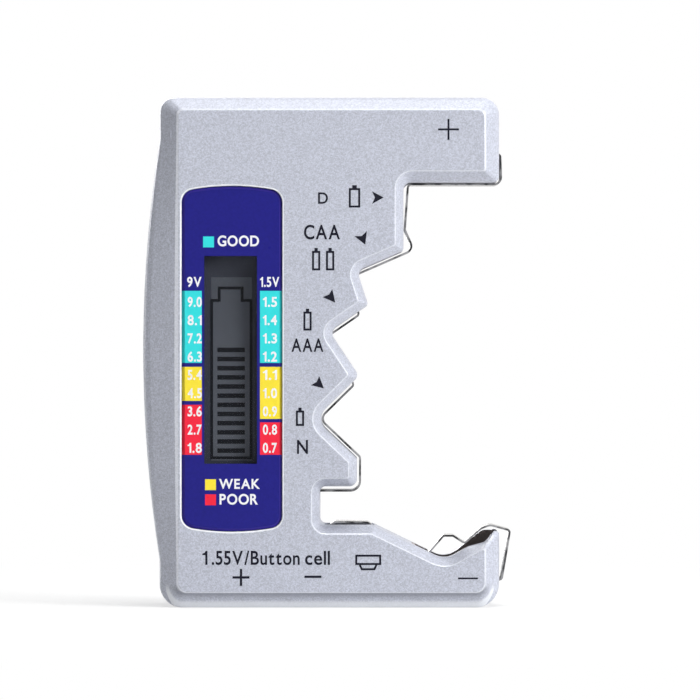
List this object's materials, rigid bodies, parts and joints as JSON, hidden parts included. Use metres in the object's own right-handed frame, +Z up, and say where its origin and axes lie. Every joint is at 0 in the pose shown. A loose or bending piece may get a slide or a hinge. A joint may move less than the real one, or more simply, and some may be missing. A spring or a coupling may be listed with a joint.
{
  "type": "battery tester",
  "caption": "Handheld battery tester: flat two-shell body with a stepped battery notch, metal contact strip, sprung negative leaf and a printed display panel over an LCD.",
  "frame": {"origin": "middle of the overall box on the surface the tester stands on", "axes": "+Z up along the height, +X towards the open side of the battery notch, the display faces -Y"},
  "size_m": [0.065, 0.02, 0.09],
  "materials": {
    "silver_paint": "silver metallic paint on plastic, fine grain",
    "printed_overlay": "gloss print",
    "lcd_glass": "grey LCD with polariser",
    "black_plastic": "moulded",
    "zebra_rubber": "layered rubber",
    "board_laminate": "solder mask",
    "potting": "epoxy",
    "resistor_lacquer": "lacquer",
    "capacitor_can": "drawn can",
    "nickel_strip": "nickel-plated spring strip",
    "black_insulation": "wire insulation",
    "red_insulation": "wire insulation",
    "screw_steel": "zinc-plated"
  },
  "bodies": {
    "housing": {"front_shell": "silver_paint", "rear_shell": "silver_paint", "display_overlay": "printed_overlay", "lcd_panel": "lcd_glass", "lcd_holder": "black_plastic", "zebra_strip_left": "zebra_rubber", "zebra_strip_right": "zebra_rubber", "circuit_board": "board_laminate", "controller_chip": "potting", "low_load_resistor": "resistor_lacquer", "high_load_resistor": "resistor_lacquer", "boost_inductor": "potting", "smoothing_capacitor": "capacitor_can", "positive_strip": "nickel_strip", "snap_plate_positive": "nickel_strip", "snap_plate_negative": "nickel_strip", "negative_wire": "black_insulation", "button_wire": "black_insulation", "snap_wire_positive": "red_insulation", "snap_wire_negative": "black_insulation", "housing_screws": "screw_steel", "board_screws": "screw_steel"},
    "negative_spring": {"negative_spring": "nickel_strip"},
    "button_leaf": {"button_leaf": "nickel_strip"}
  },
  "joints": [
    {"name": "negative_spring_flex", "type": "hinge", "parent": "housing", "child": "negative_spring", "pos_m": [0.0149, 0, 0.0041], "axis": [0, 1, 0], "range_deg": [0, 5], "stiffness_Nm_per_rad": 0.3},
    {"name": "button_leaf_flex", "type": "hinge", "parent": "housing", "child": "button_leaf", "pos_m": [0.0067, 0, 0.0107], "axis": [0, -1, 0], "range_deg": [0, 4], "stiffness_Nm_per_rad": 0.15}
  ]
}
